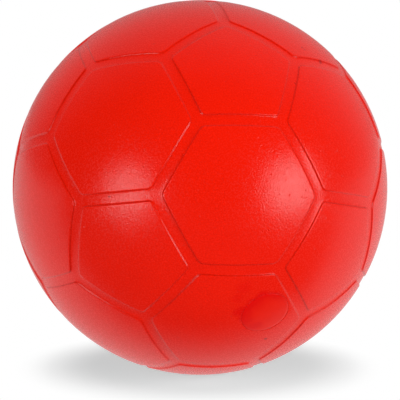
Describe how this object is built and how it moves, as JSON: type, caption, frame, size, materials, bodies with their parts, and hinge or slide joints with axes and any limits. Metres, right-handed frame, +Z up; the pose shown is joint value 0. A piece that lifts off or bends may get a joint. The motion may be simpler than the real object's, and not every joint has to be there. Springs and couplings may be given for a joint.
{
  "type": "dodgeball",
  "caption": "Soft moulded foam dodgeball: a round foam core in a tough skin with a recessed five- and six-sided panel pattern and a covered pour gate.",
  "frame": {"origin": "the middle of the ball", "axes": "+Z up as the ball lies in the picture; -Y is the side that faces the camera, with the gate patch low on that side, towards +X"},
  "size_m": [0.1794, 0.1798, 0.1799],
  "materials": {
    "skin": "satin",
    "foam": "matte",
    "patch": "satin"
  },
  "bodies": {
    "root": {"outer_skin": "skin", "foam_core": "foam", "gate_patch": "patch"}
  },
  "joints": []
}
